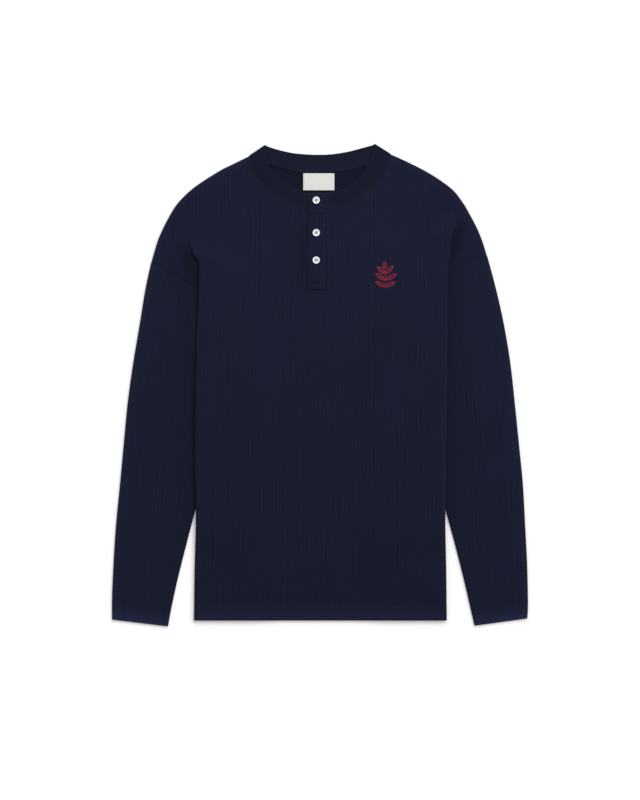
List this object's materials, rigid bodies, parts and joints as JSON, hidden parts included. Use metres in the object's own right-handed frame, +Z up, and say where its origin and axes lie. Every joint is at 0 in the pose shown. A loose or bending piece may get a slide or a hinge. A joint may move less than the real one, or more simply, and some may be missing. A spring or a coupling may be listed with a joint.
{
  "type": "thermal henley top",
  "caption": "Long-sleeved ribbed thermal henley top with a buttoned placket, laid flat with its sides folded under over the sleeves.",
  "frame": {"origin": "centre of the laid garment's outline, on the surface it lies on", "axes": "+Z up out of the garment's front, +Y towards the neck, +X towards the wearer's left sleeve, on the right as seen"},
  "size_m": [0.6153, 0.7117, 0.0104],
  "materials": {
    "knit": "dark navy ribbed cotton thermal knit, matt with a faint nap",
    "band_rib": "dark navy fine rib, folded double",
    "label": "off-white woven satin label, bare",
    "button": "white semi-gloss shirt button",
    "thread": "navy sewing thread",
    "embroidery": "red embroidery thread with a soft sheen"
  },
  "bodies": {
    "root": {"front_panel": "knit", "back_panel": "knit", "sleeve_left": "knit", "sleeve_right": "knit", "neckband": "band_rib", "placket": "knit", "label": "label", "button_1": "button", "button_2": "button", "button_3": "button"}
  },
  "joints": []
}
